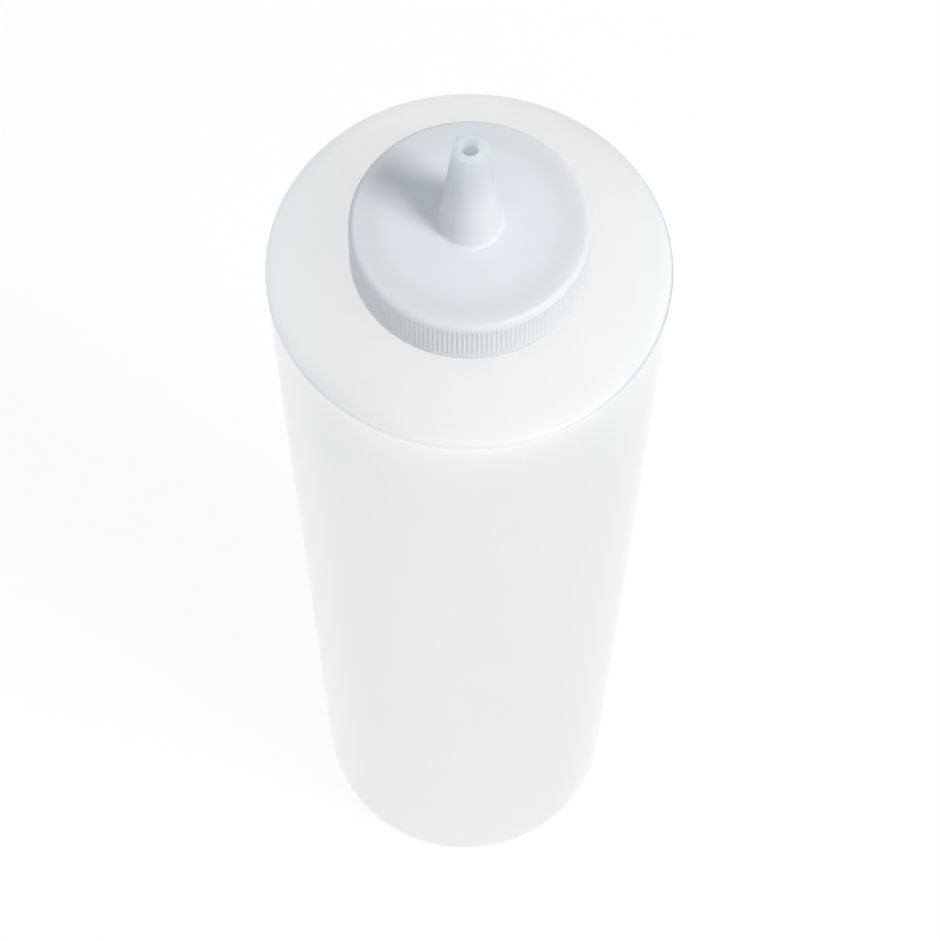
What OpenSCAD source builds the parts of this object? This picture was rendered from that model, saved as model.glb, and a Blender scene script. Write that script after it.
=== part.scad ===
// Squeeze bottle for sauce: a blow-moulded translucent bottle with a threaded neck,
// and a ribbed screw cap moulded in one with its pouring nozzle. A flat liner in the cap
// seals on the rim of the neck. Millimetres, +Z up, origin at the middle of the base.

/* [Bottle body] */
// Outer diameter of the body
body_d = 70; // [60:1:90]
// Height from the table to the edge of the shoulder
body_h = 238.4; // [150:0.1:300]
// Thickness of the blown wall
wall = 1; // [0.8:0.1:2]
// Radius where the body turns into the base
heel_r = 4.5; // [3:0.5:7]
// Radius of the shoulder's edge
shoulder_r = 0.8; // [0.6:0.1:3]
// Rise of the shoulder from its edge to the neck
shoulder_rise = 2.6; // [1:0.1:6]

/* [Base] */
// Width of the ring that the bottle stands on, inside the heel's turn
foot_w = 4; // [3:0.5:6]
// Height of the middle of the base above the table
push_up = 2.2; // [1:0.1:4]
// Diameter of the level middle of the base
push_up_d = 26; // [16:1:30]

/* [Neck] */
// Outer diameter of the neck between the threads
neck_d = 35.2; // [32:0.1:38]
// Thickness of the neck's wall
neck_wall = 2; // [1.2:0.1:3]
// Height of the neck above the shoulder
neck_h = 9.4; // [8:0.1:14]
// Radius where the shoulder turns up into the neck
neck_root_r = 0.8; // [0.4:0.1:1.5]

/* [Cap] */
// Radial room between neck and skirt, which the screw thread fills
thread_room = 1.45; // [1:0.05:2]
// Thickness of the skirt at its lower edge
skirt_wall = 1.4; // [1:0.1:2]
// Gap between the skirt and the shoulder when the cap is screwed down
skirt_gap = 1.2; // [0.5:0.1:2]
// Slope of the skirt's outside, so that the cap leaves its mould
skirt_draft = 1.2; // [0:0.1:2]
// Thickness of the top panel at its edge
panel_t = 1.2; // [0.8:0.1:2]
// Rise of the top panel from its edge to the nozzle
crown = 0.5; // [0:0.1:1.5]
// Radius of the cap's top edge
rim_r = 1.2; // [0.5:0.1:1.3]

/* [Grip ribs] */
// Number of ribs round the skirt
rib_count = 156; // [60:2:180]
// Depth of the grooves between the ribs
rib_depth = 0.18; // [0.1:0.02:0.5]
// Share of each rib's pitch that the groove takes
groove_share = 0.56; // [0.3:0.02:0.8]
// Height of the plain band under the ribs
band_h = 1.6; // [0.8:0.1:3]
// Height of the plain stretch between the ribs and the cap's top edge
top_band_h = 1.6; // [1.3:0.1:3]

/* [Nozzle] */
// Height of the nozzle above the edge of the top panel
nozzle_h = 22.8; // [12:0.1:40]
// Diameter of the nozzle where it leaves the panel
nozzle_base_d = 10.6; // [9:0.1:14]
// Diameter of the nozzle at its tip
nozzle_tip_d = 5.6; // [5.4:0.1:8]
// Diameter of the outlet
outlet_d = 3; // [1.5:0.1:3.4]
// Length of the parallel stretch behind the outlet
outlet_l = 2; // [1:0.1:5]
// Thickness of the nozzle's wall at its foot
nozzle_wall = 1.05; // [0.8:0.05:1.6]
// Thickness of the nozzle's wall just behind the outlet
nozzle_tip_wall = 0.85; // [0.6:0.05:0.9]
// Radius where the nozzle meets the panel
nozzle_foot_r = 0.8; // [0.3:0.1:2]

/* [Liner] */
// Thickness of the liner
liner_t = 0.8; // [0.5:0.1:1.5]
// How far the liner reaches in over the mouth
liner_lip = 0.4; // [0.2:0.1:1]
// Gap between the liner and the inside of the skirt
liner_side_gap = 0.3; // [0.2:0.05:0.6]

/* [Hidden] */
$fn = 120;
arc_steps = 7;

body_radius = body_d / 2;
neck_radius = neck_d / 2;
mouth_radius = neck_radius - neck_wall;
shoulder_top = body_h + shoulder_rise;
shoulder_slope = atan2(shoulder_rise, body_radius - neck_radius);
wall_drop = wall / cos(shoulder_slope);
mouth_z = shoulder_top + neck_h;
lip_r = min(0.5, neck_wall / 3);
shoulder_inside_r = max(shoulder_r - wall, 0.2);
foot_radius = body_radius - heel_r - foot_w;
foot_bend_r = 18;
push_up_bend_r = 60;

skirt_z = shoulder_top + skirt_gap;
panel_under_z = mouth_z + liner_t;
cap_edge_z = panel_under_z + panel_t;
skirt_inside = neck_radius + thread_room;
skirt_radius = skirt_inside + skirt_wall;
draft_in = tan(skirt_draft) * (cap_edge_z - skirt_z);
skirt_edge_r = 0.35;
groove_radius = skirt_radius - draft_in / 2 - rib_depth;
rib_pitch = 360 / rib_count;
tip_z = cap_edge_z + nozzle_h;
tip_edge_r = min(0.4, (nozzle_tip_d - outlet_d) / 5);
nozzle_foot = nozzle_base_d / 2;
nozzle_throat = nozzle_foot - nozzle_wall;
nozzle_end = nozzle_tip_d / 2 - nozzle_tip_wall;
outlet_step = nozzle_end - outlet_d / 2;
clear_of_cap = 1;

// Unit vector from one point to another
function toward(a, b) = (b - a) / norm(b - a);

// An angle brought into the half turn each way of zero
function half_turn(a) = a > 180 ? a - 360 : a < -180 ? a + 360 : a;

// Points of the arc of radius r that rounds the corner q between its neighbours p and s
function rounded_corner(p, q, s, r) =
    let (
        u = toward(q, p),
        v = toward(q, s),
        half = acos(u * v) / 2,
        middle = q + toward([0, 0], u + v) * r / sin(half),
        first = q + u * r / tan(half) - middle,
        last = q + v * r / tan(half) - middle,
        start = atan2(first[1], first[0]),
        sweep = half_turn(atan2(last[1], last[0]) - start)
    )
    [for (i = [0 : arc_steps])
        middle + r * [cos(start + sweep * i / arc_steps), sin(start + sweep * i / arc_steps)]];

// Outline through corners given as [x, y, radius], where radius 0 leaves a corner sharp
function rounded_outline(corners) =
    let (n = len(corners), at = [for (c = corners) [c[0], c[1]]])
    [for (i = [0 : n - 1])
        each corners[i][2] > 0
            ? rounded_corner(at[(i + n - 1) % n], at[i], at[(i + 1) % n], corners[i][2])
            : [at[i]]];

// Solid turned from rounded corners, given in the plane of radius and height
module turned(corners) {
    rotate_extrude() polygon(rounded_outline(corners));
}

// Outside of the bottle from the middle of its base up to the lip, then the inside back down
module bottle() {
    color([0.93, 0.94, 0.94, 0.6])
    turned([
        [0, push_up, 0],
        [push_up_d / 2, push_up, push_up_bend_r],
        [foot_radius, 0, foot_bend_r],
        [body_radius, 0, heel_r],
        [body_radius, body_h, shoulder_r],
        [neck_radius, shoulder_top, neck_root_r],
        [neck_radius, mouth_z, lip_r],
        [mouth_radius, mouth_z, lip_r],
        [mouth_radius, shoulder_top - wall_drop, neck_root_r],
        [body_radius - wall, body_h - wall_drop, shoulder_inside_r],
        [body_radius - wall, wall, heel_r - wall],
        [foot_radius, wall, foot_bend_r],
        [push_up_d / 2, push_up + wall, push_up_bend_r],
        [0, push_up + wall, 0]
    ]);
}

// Flat ring between the rim of the neck and the top panel
module cap_liner() {
    color([0.86, 0.87, 0.86])
    translate([0, 0, mouth_z])
    difference() {
        cylinder(h = liner_t, r = skirt_inside - liner_side_gap);
        translate([0, 0, -liner_t])
        cylinder(h = 3 * liner_t, r = mouth_radius - liner_lip);
    }
}

// Ring with one tooth for each groove, which cuts the ribs into the skirt
module groove_cutter() {
    outside = skirt_radius + clear_of_cap;
    groove_half = groove_share * rib_pitch / 2;
    flank_reach = skirt_radius;
    outline = [for (i = [0 : rib_count - 1])
        each [
            flank_reach * [cos(i * rib_pitch - groove_half), sin(i * rib_pitch - groove_half)],
            groove_radius * [cos(i * rib_pitch), sin(i * rib_pitch)],
            flank_reach * [cos(i * rib_pitch + groove_half), sin(i * rib_pitch + groove_half)]
        ]];
    translate([0, 0, skirt_z + band_h])
    linear_extrude(cap_edge_z - skirt_z - band_h - top_band_h)
    difference() {
        circle(r = outside);
        polygon(outline);
    }
}

// Cap and nozzle as one moulding, open below and at the tip
module cap() {
    color([0.86, 0.88, 0.90])
    difference() {
        turned([
            [skirt_inside, skirt_z, 0],
            [skirt_radius, skirt_z, skirt_edge_r],
            [skirt_radius - draft_in, cap_edge_z, rim_r],
            [nozzle_foot, cap_edge_z + crown, nozzle_foot_r],
            [nozzle_tip_d / 2, tip_z, tip_edge_r],
            [outlet_d / 2, tip_z, tip_edge_r],
            [outlet_d / 2, tip_z - outlet_l, 0],
            [nozzle_end, tip_z - outlet_l - outlet_step, 0],
            [nozzle_throat, panel_under_z, tip_edge_r],
            [skirt_inside, panel_under_z, 0]
        ]);
        groove_cutter();
    }
}

bottle();
cap_liner();
cap();
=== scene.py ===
"""Squeeze bottle for sauce: translucent blown body, ribbed screw cap with nozzle, sealing liner."""

import math

import bpy
from mathutils import Matrix, Vector


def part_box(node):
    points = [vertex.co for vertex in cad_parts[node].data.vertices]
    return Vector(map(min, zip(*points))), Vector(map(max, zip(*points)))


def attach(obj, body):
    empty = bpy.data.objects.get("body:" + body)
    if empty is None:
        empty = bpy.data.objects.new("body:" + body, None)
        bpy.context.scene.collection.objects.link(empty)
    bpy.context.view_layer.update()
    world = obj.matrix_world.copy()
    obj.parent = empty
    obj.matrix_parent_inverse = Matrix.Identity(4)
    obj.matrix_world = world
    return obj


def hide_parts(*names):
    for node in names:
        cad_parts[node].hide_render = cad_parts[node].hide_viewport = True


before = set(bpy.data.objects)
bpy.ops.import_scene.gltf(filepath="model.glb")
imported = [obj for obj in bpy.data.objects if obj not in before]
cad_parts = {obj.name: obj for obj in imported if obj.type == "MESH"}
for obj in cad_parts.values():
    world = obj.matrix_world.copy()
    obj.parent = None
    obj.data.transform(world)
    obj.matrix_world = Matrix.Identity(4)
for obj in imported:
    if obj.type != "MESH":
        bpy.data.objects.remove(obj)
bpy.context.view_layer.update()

MM = 0.001
FULL_TURN = 2 * math.pi
ON_AXIS = 1e-7
SCENE = bpy.context.scene

# Sizes taken from the frame
_, BOTTLE_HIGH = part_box("bottle")
CAP_LOW, CAP_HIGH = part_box("cap")
_, LINER_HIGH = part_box("cap_liner")
BODY_RADIUS = BOTTLE_HIGH.x
MOUTH_Z = BOTTLE_HIGH.z
SKIRT_RADIUS = CAP_HIGH.x
SKIRT_Z = CAP_LOW.z
TIP_Z = CAP_HIGH.z
PANEL_UNDER_Z = LINER_HIGH.z

# Bottle
WALL = 1.0 * MM
HEEL_RADIUS = 4.5 * MM
SHOULDER_EDGE_RADIUS = 0.8 * MM
SHOULDER_INSIDE_RADIUS = 0.2 * MM
SHOULDER_RISE = 2.6 * MM
SKIRT_GAP = 1.2 * MM
SHOULDER_TOP = SKIRT_Z - SKIRT_GAP
BODY_HEIGHT = SHOULDER_TOP - SHOULDER_RISE
FOOT_WIDTH = 4.0 * MM
FOOT_BEND = 18.0 * MM
PUSH_UP = 2.2 * MM
PUSH_UP_RADIUS = 13.0 * MM
PUSH_UP_BEND = 60.0 * MM
NECK_RADIUS = 17.6 * MM
NECK_WALL = 2.0 * MM
NECK_ROOT_RADIUS = 0.8 * MM
LIP_RADIUS = 0.5 * MM
BOTTLE_COLUMNS = 192
BOTTLE_STATIONS = 6.0 * MM

# Parting line of the mould, and the slight waves of the wall: how many go round the bottle,
# how far they turn per metre of height, and where they start
PARTING_WIDTH = 0.5 * MM
PARTING_DEPTH = 0.06 * MM
WAVES = ((3, 40.0, 0.0), (5, -27.0, 1.3))
WAVE_DEPTH = 0.12 * MM
WAVE_TOP = BODY_HEIGHT - 2.0 * MM
WAVE_RUN_OUT = 12.0 * MM

# Welded seam under the base
PINCH_LENGTH = 34.0 * MM
PINCH_WIDTH = 0.9 * MM
PINCH_HEIGHT = 0.5 * MM
PINCH_BITE = 0.2 * MM
PINCH_STEPS = 24

# Cap and nozzle
SKIRT_WALL = 1.4 * MM
SKIRT_INSIDE = SKIRT_RADIUS - SKIRT_WALL
PANEL_THICKNESS = 1.2 * MM
PANEL_EDGE_Z = PANEL_UNDER_Z + PANEL_THICKNESS
PANEL_CROWN = 0.5 * MM
DRAFT_ANGLE = math.radians(1.2)
SKIRT_DRAFT = math.tan(DRAFT_ANGLE) * (PANEL_EDGE_Z - SKIRT_Z)
RIM_RADIUS = 1.2 * MM
SKIRT_EDGE_RADIUS = 0.35 * MM
SKIRT_MOUTH_RADIUS = 0.3 * MM
INSIDE_CORNER_RADIUS = 0.4 * MM
RIBS = 156
RIB_COLUMNS = 6
RIB_DEPTH = 0.18 * MM
RIB_RUN_OUT = 0.3 * MM
RIB_LOW = SKIRT_Z + 1.6 * MM
RIB_HIGH = PANEL_EDGE_Z - 1.6 * MM
NOZZLE_FOOT = 5.3 * MM
NOZZLE_THROAT = 4.25 * MM
NOZZLE_TIP = 2.8 * MM
NOZZLE_END = 1.95 * MM
OUTLET_RADIUS = 1.5 * MM
OUTLET_LENGTH = 2.0 * MM
OUTLET_CORNER_RADIUS = 0.2 * MM
NOZZLE_FOOT_FILLET = 0.8 * MM
TIP_EDGE_RADIUS = 0.4 * MM
CAP_STATIONS = 3.0 * MM

# Screw thread between neck and cap; run-out and start are shares of a turn
THREAD_PITCH = 4.2333 * MM
THREAD_ROOT_WIDTH = 2.1 * MM
THREAD_CREST_WIDTH = 0.9 * MM
THREAD_EDGE_WIDTH = 0.12 * MM
THREAD_EDGE_SHARE = 0.85
THREAD_BITE = 0.15 * MM
THREAD_RUN_OUT = 0.12
THREAD_LEAST_SWELL = 0.02
THREAD_STEPS_PER_TURN = 96
NECK_THREAD_Z = SHOULDER_TOP + 4.6 * MM
NECK_THREAD_DEPTH = 1.1 * MM
NECK_THREAD_TURNS = 1.25
CAP_THREAD_DEPTH = 1.05 * MM
CAP_THREAD_TURNS = 1.0
CAP_THREAD_START = 0.62

# Blown plastic: colours, and the share of the light that passes on through the wall
WHITE = (1, 1, 1, 1)
BLOWN_COOLER = (0.95, 0.96, 0.965, 1)
BLOWN_WARMER = (0.99, 0.98, 0.96, 1)
# Painted shade: darker, bluer bands round the body between the axes, standing in for the shading of
# the lit cylinder; they also pass on a little less light
BAND_SHADE_TINT = (0.62, 0.68, 0.72, 1)
BAND_SHADE_AMOUNT = 0.8
BAND_SHADE_BLOCKS = 0.07
# Painted shade: dark line along the shoulder's edge, standing in for light bent in the wall, which
# also passes on less light there
EDGE_SHADE_TINT = (0.34, 0.37, 0.40, 1)
EDGE_SHADE_AMOUNT = 0.95
EDGE_SHADE_BLOCKS = 0.8
EDGE_SHADE_ALL_ROUND = 0.45
EDGE_SHADE_SIDE = (0.94, 0.34)
PASSED_ON = 0.97
# Painted reflection: the light passed on is tinted cooler towards the +x and -x sides and warmer in
# the middle, with random patches
WARM_GLOW = (1.0, 0.991, 0.981, 1)
COOL_GLOW = (0.987, 0.995, 0.999, 1)
GLOSS_STRAIGHT_ON = 0.04

# Cap plastic and liner foam
CAP_DARKER = (0.77, 0.787, 0.807, 1)
CAP_LIGHTER = (0.80, 0.812, 0.832, 1)
CAP_GLOW = (0.88, 0.90, 0.92, 1)
CAP_PASSED_ON = 0.22
TIP_PASSED_ON = 0.7
FOAM_DARKER = (0.78, 0.79, 0.78, 1)
FOAM_LIGHTER = (0.86, 0.87, 0.86, 1)

# Ground, sky and key light
GROUND_HALF_WIDTH = 3.0
GROUND_DROP = 0.05 * MM
GROUND_WHITE = (0.98, 0.98, 0.98, 1)
GROUND_EVENNESS = 0.9
SKY_AT_TABLE = 1.05
SKY_OVERHEAD = 0.55
SKY_TABLE_COLOUR = (0.98, 0.987, 1.0, 1)
SKY_OVERHEAD_COLOUR = (0.86, 0.935, 1.0, 1)
KEY_DIRECTION = Vector((0.84, -0.54, 1.18)).normalized()
KEY_TARGET = Vector((0, 0, 0.2))
KEY_DISTANCE = 1.0
KEY_SIZE = 0.34
KEY_POWER = 6.8
KEY_COLOUR = (1.0, 0.99, 0.97)

# Camera fitted to the photograph: pixels, radians, and distances as shares
FOCAL_PX = 2401.1
FRAME_PX = 941
SENSOR = 36.0
LOOKS_DOWN = 1.1339
ROLL = 0.0112
AWAY = 11.762 * BODY_RADIUS
AIM_RIGHT = -0.0012
AIM_UP = 0.0855
AIM = Vector((0, 0, BODY_HEIGHT - 0.4 * MM))


# Outlines and meshes

def rounded_corner(before, corner, after, radius, steps):
    """Points of the arc that rounds a corner of an outline."""
    to_before, to_after = (before - corner).normalized(), (after - corner).normalized()
    half = to_before.angle(to_after) / 2
    inward = (to_before + to_after).normalized()
    middle = corner + inward * radius / math.sin(half)
    reach = radius / math.tan(half)
    first, last = corner + to_before * reach - middle, corner + to_after * reach - middle
    start = math.atan2(first.y, first.x)
    sweep = math.atan2(last.y, last.x) - start
    sweep = (sweep + math.pi) % FULL_TURN - math.pi
    points = []
    for i in range(steps + 1):
        angle = start + sweep * i / steps
        points.append(middle + radius * Vector((math.cos(angle), math.sin(angle))))
    return points


def rounded_outline(corners, steps=8):
    """Outline through corners given as (radius from the axis, height, rounding)."""
    at = [Vector(corner[:2]) for corner in corners]
    points = []
    for i, (_, _, rounding) in enumerate(corners):
        before, after = at[i - 1], at[(i + 1) % len(at)]
        if rounding > 0:
            points += rounded_corner(before, at[i], after, rounding, steps)
        else:
            points.append(at[i])
    return points


def with_stations(points, spacing):
    """The outline with its long straight stretches cut into steps no longer than spacing."""
    finer = []
    for here, there in zip(points, points[1:] + points[:1]):
        steps = max(1, math.ceil((there - here).length / spacing))
        finer += [here.lerp(there, i / steps) for i in range(steps)]
    return finer


def run_out(place, low, high, length):
    """1 between low and high, falling to 0 over a length at each end."""
    return min(1.0, (place - low) / length, (high - place) / length)


def add_object(name, data):
    """An object in the scene that shows the data."""
    thing = bpy.data.objects.new(name, data)
    SCENE.collection.objects.link(thing)
    return thing


def mesh_object(name, vertices, faces, body, slot, material):
    """A smooth-shaded mesh object that rides on a body."""
    mesh = bpy.data.meshes.new(name)
    mesh.from_pydata(vertices, [], faces)
    mesh.validate()
    mesh.shade_smooth()
    mesh.materials.append(material)
    piece = add_object(name, mesh)
    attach(piece, body)
    return piece


def even_angles(columns):
    return [FULL_TURN * column / columns for column in range(columns)]


def turned_mesh(outline, angles, shape):
    """Vertices and faces of a closed outline turned about the axis; shape moves each point."""
    vertices, rings = [], []
    columns = len(angles)
    for point in outline:
        if point.x < ON_AXIS:
            rings.append([len(vertices)] * columns)
            vertices.append((0.0, 0.0, point.y))
            continue
        rings.append(list(range(len(vertices), len(vertices) + columns)))
        for angle in angles:
            radius, height = shape(point.x, point.y, angle)
            vertices.append((radius * math.cos(angle), radius * math.sin(angle), height))
    faces = []
    for lower, upper in zip(rings, rings[1:] + rings[:1]):
        if lower[0] == lower[1] and upper[0] == upper[1]:
            continue
        for column in range(columns):
            after = (column + 1) % columns
            corners = [lower[column], lower[after], upper[after], upper[column]]
            faces.append(list(dict.fromkeys(corners)))
    return vertices, faces


def thread_section(depth):
    """Points across the ridge, from its lower to its upper root: (proud of the wall, along)."""
    root, crest = THREAD_ROOT_WIDTH / 2, THREAD_CREST_WIDTH / 2
    edge = (depth * THREAD_EDGE_SHARE, crest + THREAD_EDGE_WIDTH)
    upper = [(-THREAD_BITE, root), (0.0, root), edge, (depth, crest)]
    return [(proud, -along) for proud, along in upper] + upper[::-1]


def thread_mesh(root_radius, outward, depth, middle_z, turns, phase):
    """A closed ridge wound along a right-hand helix, running out to nothing at both ends."""
    steps = round(turns * THREAD_STEPS_PER_TURN)
    vertices, faces = [], []
    for step in range(steps + 1):
        turned = turns * step / steps
        angle = phase + FULL_TURN * turned
        height = middle_z + THREAD_PITCH * (turned - turns / 2)
        swell = max(run_out(turned, 0, turns, THREAD_RUN_OUT), THREAD_LEAST_SWELL)
        for proud, along in thread_section(depth * math.sin(swell * math.pi / 2)):
            radius = root_radius + outward * proud
            vertices.append((radius * math.cos(angle), radius * math.sin(angle), height + along))
    count = len(thread_section(depth))
    for step in range(steps):
        low, high = step * count, (step + 1) * count
        for i in range(count):
            after = (i + 1) % count
            faces.append([low + i, high + i, high + after, low + after])
    faces += [list(range(count)), [steps * count + i for i in reversed(range(count))]]
    return vertices, faces if outward > 0 else [face[::-1] for face in faces]


# Materials

class Value:
    """A socket of a node tree, so that shader maths reads as an expression."""

    def __init__(self, shader, socket):
        self.shader, self.socket = shader, socket

    def _math(self, operation, *values):
        return self.shader.add("ShaderNodeMath", {"operation": operation}, dict(enumerate(values)))

    def __add__(self, other):
        return self._math("ADD", self, other)

    def __sub__(self, other):
        return self._math("SUBTRACT", self, other)

    def __rsub__(self, other):
        return self._math("SUBTRACT", other, self)

    def __mul__(self, other):
        return self._math("MULTIPLY", self, other)

    def __truediv__(self, other):
        return self._math("DIVIDE", self, other)

    def __pow__(self, other):
        return self._math("POWER", self, other)

    __radd__, __rmul__ = __add__, __mul__

    def clamped(self):
        return self._math("MAXIMUM", self._math("MINIMUM", self, 1.0), 0.0)

    def ramp(self, low, high):
        """0 below low and 1 above high."""
        return ((self - low) / (high - low)).clamped()


class Shader:
    """The nodes of a material or of the world, under construction."""

    def __init__(self, owner):
        owner.use_nodes = True
        self.owner, self.tree = owner, owner.node_tree
        self.tree.nodes.clear()

    def add(self, kind, settings=None, sockets=None, output=0):
        """A node of that kind with its settings, then its sockets as values or links."""
        node = self.tree.nodes.new(kind)
        for key, value in (settings or {}).items():
            setattr(node, key, value)
        for key, value in (sockets or {}).items():
            if isinstance(value, Value):
                self.tree.links.new(value.socket, node.inputs[key])
            else:
                node.inputs[key].default_value = value
        return Value(self, node.outputs[output]) if len(node.outputs) else None

    def place(self):
        """Position on the piece at rest, in metres."""
        return self.add("ShaderNodeTexCoord", output="Object")

    def coordinates(self):
        """The three coordinates of the position on the piece."""
        place = {"Vector": self.place()}
        return [self.add("ShaderNodeSeparateXYZ", sockets=place, output=axis) for axis in "XYZ"]

    def noise(self, scale, detail):
        sockets = {"Vector": self.place(), "Scale": scale, "Detail": detail, "Roughness": 0.5}
        return self.add("ShaderNodeTexNoise", sockets=sockets, output="Fac")

    def blend(self, factor, first, second):
        """Colour that goes from first to second as factor goes from 0 to 1."""
        sockets = {"Factor": factor, 6: first, 7: second}
        return self.add("ShaderNodeMix", {"data_type": "RGBA"}, sockets, output=2)

    def bump(self, height, distance, strength):
        sockets = {"Height": height, "Distance": distance, "Strength": strength}
        return self.add("ShaderNodeBump", sockets=sockets)

    def principled(self, sockets):
        return self.add("ShaderNodeBsdfPrincipled", sockets=sockets)

    def translucent(self, colour):
        return self.add("ShaderNodeBsdfTranslucent", sockets={"Color": colour})

    def light_path(self, ray):
        """1 where the light runs along that kind of ray."""
        return self.add("ShaderNodeLightPath", output=ray)

    def mixed(self, factor, first, second):
        """Shader that goes from first to second as factor goes from 0 to 1."""
        return self.add("ShaderNodeMixShader", sockets={0: factor, 1: first, 2: second})

    def surface(self, shader):
        """Ends a material with its surface."""
        self.add("ShaderNodeOutputMaterial", sockets={"Surface": shader})
        return self.owner


def new_material(name):
    return Shader(bpy.data.materials.new(name))


def shoulder_edge_shade(x, y, radius, height):
    """Painted shade: dark line along the shoulder's edge, standing in for light bent in the wall;
    full on the +x side, where the key light stands, and fainter elsewhere.
    """
    below = (BODY_HEIGHT - height) / SHOULDER_EDGE_RADIUS
    line = below.ramp(-0.1, 0.15) * (1 - below.ramp(0.6, 1.0))
    outside = radius.ramp(BODY_RADIUS - 0.9 * WALL, BODY_RADIUS - 0.6 * WALL)
    side = ((EDGE_SHADE_SIDE[0] * x + EDGE_SHADE_SIDE[1] * y) / BODY_RADIUS).ramp(0.2, 0.9)
    return line * outside * (EDGE_SHADE_ALL_ROUND + (1 - EDGE_SHADE_ALL_ROUND) * side)


def painted_shade_bands(x, y, radius):
    """Painted shade: four darker bands round the outside of the body, between the axes, standing in
    for the shading of the lit cylinder.
    """
    between_axes = (x * y / (x * x + y * y)) ** 2 * 4
    return between_axes * radius.ramp(BODY_RADIUS - 3 * MM, BODY_RADIUS - 1.5 * MM)


def glow_through(shader, x):
    """Light that the wall passes on, with painted reflection: cooler towards the +x and -x sides
    and warmer in the middle, plus random warmer and cooler patches.
    """
    cooler_at_sides = (x / BODY_RADIUS) ** 2 + shader.noise(scale=22.0, detail=1.0) * 1.6 - 0.9
    warm_light, cool_light = shader.translucent(WARM_GLOW), shader.translucent(COOL_GLOW)
    return shader.mixed(cooler_at_sides.clamped(), warm_light, cool_light)


def with_gloss(shader, wall, roughness, normal):
    """The wall under a gloss that grows where it is seen at a grazing angle."""
    gloss = {"Color": WHITE, "Roughness": roughness, "Normal": normal}
    shine = shader.add("ShaderNodeBsdfGlossy", sockets=gloss)
    grazing = shader.add("ShaderNodeLayerWeight", sockets={"Blend": 0.5}, output="Facing")
    amount = GLOSS_STRAIGHT_ON + (1 - GLOSS_STRAIGHT_ON) * grazing ** 5
    return shader.mixed(amount, wall, shine)


def blown_plastic():
    """Milky soft plastic of the bottle, which scatters light and lets most of it through."""
    shader = new_material("blown_plastic")
    clouds = shader.noise(scale=18.0, detail=3.0)
    grain = shader.noise(scale=900.0, detail=2.0)
    skin = shader.bump(grain, distance=0.02 * MM, strength=0.5)
    x, y, height = shader.coordinates()
    radius = (x * x + y * y) ** 0.5
    # Painted shade: the dark line at the shoulder's edge and the darker bands round the body, which
    # tint the colour and pass on less light
    edge, band_shade = shoulder_edge_shade(x, y, radius, height), painted_shade_bands(x, y, radius)
    colour = shader.blend(clouds, BLOWN_COOLER, BLOWN_WARMER)
    colour = shader.blend(band_shade * BAND_SHADE_AMOUNT, colour, BAND_SHADE_TINT)
    colour = shader.blend(edge * EDGE_SHADE_AMOUNT, colour, EDGE_SHADE_TINT)
    outside = shader.principled({"Base Color": colour, "Roughness": 0.5, "Normal": skin})
    passed_on = PASSED_ON * (1 - edge * EDGE_SHADE_BLOCKS) * (1 - band_shade * BAND_SHADE_BLOCKS)
    wall = shader.mixed(passed_on, outside, glow_through(shader, x))
    return shader.surface(with_gloss(shader, wall, 0.31 + clouds * 0.08, skin))


def cap_plastic():
    """White plastic of the cap, faintly blue and dense, which lets light through at the tip."""
    shader = new_material("cap_plastic")
    clouds = shader.noise(scale=60.0, detail=3.0)
    grain = shader.noise(scale=2600.0, detail=2.0)
    outside = shader.principled({
        "Base Color": shader.blend(clouds, CAP_DARKER, CAP_LIGHTER),
        "Roughness": 0.42 + clouds * 0.08,
        "IOR": 1.5,
        "Normal": shader.bump(grain, distance=0.01 * MM, strength=0.4),
    })
    thin = shader.coordinates()[2].ramp(TIP_Z - 14 * MM, TIP_Z - 2 * MM)
    passed_on = CAP_PASSED_ON + (TIP_PASSED_ON - CAP_PASSED_ON) * thin
    return shader.surface(shader.mixed(passed_on, outside, shader.translucent(CAP_GLOW)))


def liner_foam():
    """Soft closed-cell foam of the liner."""
    shader = new_material("liner_foam")
    cells = shader.noise(scale=3500.0, detail=3.0)
    return shader.surface(shader.principled({
        "Base Color": shader.blend(cells, FOAM_DARKER, FOAM_LIGHTER),
        "Roughness": 0.85,
        "Normal": shader.bump(cells, distance=0.04 * MM, strength=0.6),
    }))


def white_ground():
    """White ground: seen directly it is nearly even, and it keeps a soft shadow."""
    shader = new_material("white_ground")
    lit = shader.add("ShaderNodeBsdfDiffuse", sockets={"Color": GROUND_WHITE})
    white = shader.add("ShaderNodeEmission", sockets={"Color": WHITE, "Strength": 1.0})
    seen = shader.light_path("Is Camera Ray")
    mirrored = shader.light_path("Is Glossy Ray")
    through = shader.light_path("Is Transmission Ray")
    direct = (seen + mirrored + through).clamped()
    return shader.surface(shader.mixed(direct * GROUND_EVENNESS, lit, white))


# Pieces

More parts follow.
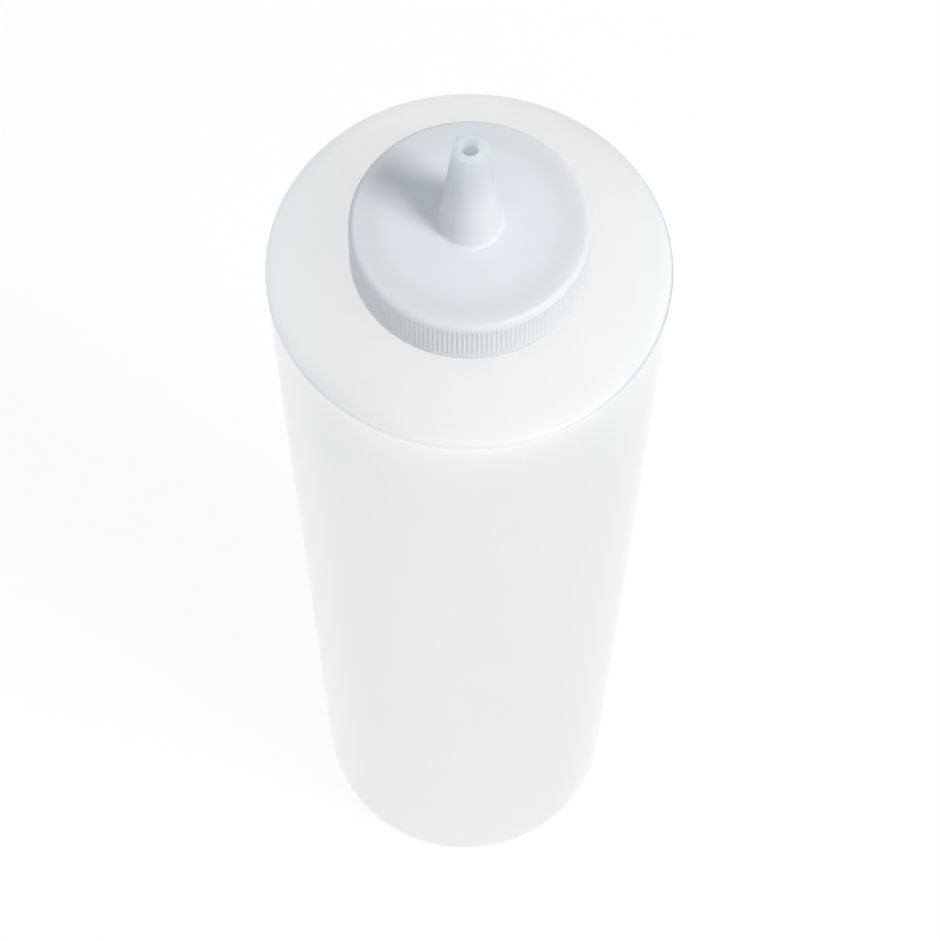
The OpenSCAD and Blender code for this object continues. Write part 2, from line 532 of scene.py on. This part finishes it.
def bottle_outline():
    slope = math.atan2(SHOULDER_RISE, BODY_RADIUS - NECK_RADIUS)
    drop = WALL / math.cos(slope)
    inside, mouth = BODY_RADIUS - WALL, NECK_RADIUS - NECK_WALL
    foot = BODY_RADIUS - HEEL_RADIUS - FOOT_WIDTH
    corners = [
        (0, PUSH_UP, 0),
        (PUSH_UP_RADIUS, PUSH_UP, PUSH_UP_BEND),
        (foot, 0, FOOT_BEND),
        (BODY_RADIUS, 0, HEEL_RADIUS),
        (BODY_RADIUS, BODY_HEIGHT, SHOULDER_EDGE_RADIUS),
        (NECK_RADIUS, SHOULDER_TOP, NECK_ROOT_RADIUS),
        (NECK_RADIUS, MOUTH_Z, LIP_RADIUS),
        (mouth, MOUTH_Z, LIP_RADIUS),
        (mouth, SHOULDER_TOP - drop, NECK_ROOT_RADIUS),
        (inside, BODY_HEIGHT - drop, SHOULDER_INSIDE_RADIUS),
        (inside, WALL, HEEL_RADIUS - WALL),
        (foot, WALL, FOOT_BEND),
        (PUSH_UP_RADIUS, PUSH_UP + WALL, PUSH_UP_BEND),
        (0, PUSH_UP + WALL, 0),
    ]
    return with_stations(rounded_outline(corners), BOTTLE_STATIONS)


def blown(radius, height, angle):
    """Sinks the parting line of the mould and the slight waves of the blown wall."""
    if radius < BODY_RADIUS - WALL / 2 or not HEEL_RADIUS < height < WAVE_TOP:
        return radius, height
    waves = sum(math.sin(count * angle + slant * height + start) for count, slant, start in WAVES)
    off_line = min(abs(math.remainder(angle, math.pi)) * BODY_RADIUS / (PARTING_WIDTH / 2), 1.0)
    sunk = WAVE_DEPTH * (waves + len(WAVES)) / (2 * len(WAVES)) + PARTING_DEPTH * (1 - off_line)
    return radius - sunk * run_out(height, HEEL_RADIUS, WAVE_TOP, WAVE_RUN_OUT), height


def bottle_angles():
    """Even steps round the bottle, with finer ones at the parting line on each side."""
    fine = [side * PARTING_WIDTH / (4 * BODY_RADIUS) for side in (-2, -1, 1, 2)]
    extra = [(middle + step) % FULL_TURN for middle in (0, math.pi) for step in fine]
    return sorted(even_angles(BOTTLE_COLUMNS) + extra)


def make_bottle(material):
    vertices, faces = turned_mesh(bottle_outline(), bottle_angles(), blown)
    piece = mesh_object("bottle_shell", vertices, faces, "bottle", "bottle", material)
    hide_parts("bottle")


def make_pinch_seam(material):
    """Welded seam across the underside, where the mould pinched the tube shut."""
    vertices, faces = [], []
    base, half = PUSH_UP + PINCH_BITE, PINCH_WIDTH / 2
    for step in range(PINCH_STEPS + 1):
        along = 2 * step / PINCH_STEPS - 1
        x = along * PINCH_LENGTH / 2
        edge = base - (PINCH_HEIGHT + PINCH_BITE) * max(0.0, 1 - along ** 4)
        vertices += [(x, -half, base), (x, -half / 3, edge), (x, half / 3, edge), (x, half, base)]
    for step in range(PINCH_STEPS):
        low, high = 4 * step, 4 * step + 4
        for i in range(4):
            after = (i + 1) % 4
            faces.append([low + i, low + after, high + after, high + i])
    faces += [[3, 2, 1, 0], [4 * PINCH_STEPS + i for i in range(4)]]
    mesh_object("pinch_seam", vertices, faces, "bottle", "bottle", material)


def make_neck_thread(material):
    ridge = thread_mesh(NECK_RADIUS, 1, NECK_THREAD_DEPTH, NECK_THREAD_Z, NECK_THREAD_TURNS, 0.0)
    mesh_object("neck_thread", *ridge, "bottle", "bottle", material)


def skirt_outside(height):
    return SKIRT_RADIUS - SKIRT_DRAFT * (height - SKIRT_Z) / (PANEL_EDGE_Z - SKIRT_Z)


def cap_outline():
    rib_ends = (RIB_LOW, RIB_LOW + RIB_RUN_OUT, RIB_HIGH - RIB_RUN_OUT, RIB_HIGH)
    outlet_low = TIP_Z - OUTLET_LENGTH
    corners = [
        (SKIRT_INSIDE, SKIRT_Z, SKIRT_MOUTH_RADIUS),
        (SKIRT_RADIUS, SKIRT_Z, SKIRT_EDGE_RADIUS),
        *[(skirt_outside(height), height, 0) for height in rib_ends],
        (skirt_outside(PANEL_EDGE_Z), PANEL_EDGE_Z, RIM_RADIUS),
        (NOZZLE_FOOT, PANEL_EDGE_Z + PANEL_CROWN, NOZZLE_FOOT_FILLET),
        (NOZZLE_TIP, TIP_Z, TIP_EDGE_RADIUS),
        (OUTLET_RADIUS, TIP_Z, TIP_EDGE_RADIUS),
        (OUTLET_RADIUS, outlet_low, OUTLET_CORNER_RADIUS),
        (NOZZLE_END, outlet_low - (NOZZLE_END - OUTLET_RADIUS), OUTLET_CORNER_RADIUS),
        (NOZZLE_THROAT, PANEL_UNDER_Z, INSIDE_CORNER_RADIUS),
        (SKIRT_INSIDE, PANEL_UNDER_Z, INSIDE_CORNER_RADIUS),
    ]
    return with_stations(rounded_outline(corners, 5), CAP_STATIONS)


def ribbed(radius, height, angle):
    """Draws the grooves between the ribs into the outside of the skirt."""
    if radius < SKIRT_INSIDE + SKIRT_WALL / 2 or not RIB_LOW < height < RIB_HIGH:
        return radius, height
    groove = 0.5 - 0.5 * math.cos(RIBS * angle)
    return radius - RIB_DEPTH * groove * run_out(height, RIB_LOW, RIB_HIGH, RIB_RUN_OUT), height


def make_cap(material):
    vertices, faces = turned_mesh(cap_outline(), even_angles(RIBS * RIB_COLUMNS), ribbed)
    piece = mesh_object("cap_with_nozzle", vertices, faces, "cap", "cap", material)
    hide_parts("cap")


def make_cap_thread(material):
    """Ridge inside the skirt, half a pitch under the neck's ridge when the cap is closed."""
    neck_start = NECK_THREAD_Z - THREAD_PITCH * NECK_THREAD_TURNS / 2
    middle = neck_start + THREAD_PITCH * (CAP_THREAD_START - 0.5 + CAP_THREAD_TURNS / 2)
    phase = FULL_TURN * CAP_THREAD_START
    ridge = thread_mesh(SKIRT_INSIDE, -1, CAP_THREAD_DEPTH, middle, CAP_THREAD_TURNS, phase)
    mesh_object("cap_thread", *ridge, "cap", "cap", material)


def finish_liner(material):
    """Gives the liner, which is shown as it was constructed, its foam."""
    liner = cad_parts["cap_liner"]
    liner.data.materials.clear()
    liner.data.materials.append(material)


# Ground, light and camera

def make_ground():
    far, low = GROUND_HALF_WIDTH, -GROUND_DROP
    mesh = bpy.data.meshes.new("ground")
    corners = [(-far, -far, low), (far, -far, low), (far, far, low), (-far, far, low)]
    mesh.from_pydata(corners, [], [(0, 1, 2, 3)])
    mesh.materials.append(white_ground())
    ground = add_object("ground", mesh)


def make_key_lamp():
    """A round soft light that shines from its direction at the middle of the object."""
    lamp = bpy.data.lights.new("key", "AREA")
    lamp.shape = "DISK"
    lamp.size, lamp.energy, lamp.color = KEY_SIZE, KEY_POWER, KEY_COLOUR
    holder = add_object("key", lamp)
    holder.location = KEY_TARGET + KEY_DIRECTION * KEY_DISTANCE
    holder.rotation_euler = KEY_DIRECTION.to_track_quat("Z", "Y").to_euler()


def make_world():
    """White all round at the level of the table, darker and bluer towards the ceiling."""
    world = bpy.data.worlds.new("studio")
    sky = Shader(world)
    direction = sky.add("ShaderNodeTexCoord", output="Generated")
    height = sky.add("ShaderNodeSeparateXYZ", sockets={"Vector": direction}, output="Z")
    overhead = height.clamped() ** 0.5
    strength = SKY_AT_TABLE - (SKY_AT_TABLE - SKY_OVERHEAD) * overhead
    colour = sky.blend(overhead, SKY_TABLE_COLOUR, SKY_OVERHEAD_COLOUR)
    light = sky.add("ShaderNodeBackground", sockets={"Color": colour, "Strength": strength})
    white = sky.add("ShaderNodeBackground", sockets={"Color": WHITE, "Strength": 1.0})
    surface = sky.mixed(sky.light_path("Is Camera Ray"), light, white)
    sky.add("ShaderNodeOutputWorld", sockets={"Surface": surface})
    SCENE.world = world


def make_camera():
    """Camera fitted to the outlines of body, shoulder and cap in the photograph."""
    forward = Vector((0, math.cos(LOOKS_DOWN), -math.sin(LOOKS_DOWN)))
    up = Vector((0, math.sin(LOOKS_DOWN), math.cos(LOOKS_DOWN)))
    right = Vector((1, 0, 0))
    place = AIM - AWAY * (forward + AIM_RIGHT * right + AIM_UP * up)
    rolled_right = math.cos(ROLL) * right + math.sin(ROLL) * up
    rolled_up = math.cos(ROLL) * up - math.sin(ROLL) * right
    lens = bpy.data.cameras.new("camera")
    lens.lens, lens.sensor_width = SENSOR * FOCAL_PX / FRAME_PX, SENSOR
    lens.clip_start, lens.clip_end = 0.01, 20
    camera = add_object("camera", lens)
    turn = Matrix((rolled_right, rolled_up, -forward)).transposed()
    camera.matrix_world = Matrix.Translation(place) @ turn.to_4x4()
    SCENE.camera = camera


bottle_material = blown_plastic()
cap_material = cap_plastic()
make_bottle(bottle_material)
make_neck_thread(bottle_material)
make_pinch_seam(bottle_material)
make_cap(cap_material)
make_cap_thread(cap_material)
finish_liner(liner_foam())

make_ground()
make_world()
make_key_lamp()
make_camera()
SCENE.view_settings.view_transform = "Standard"
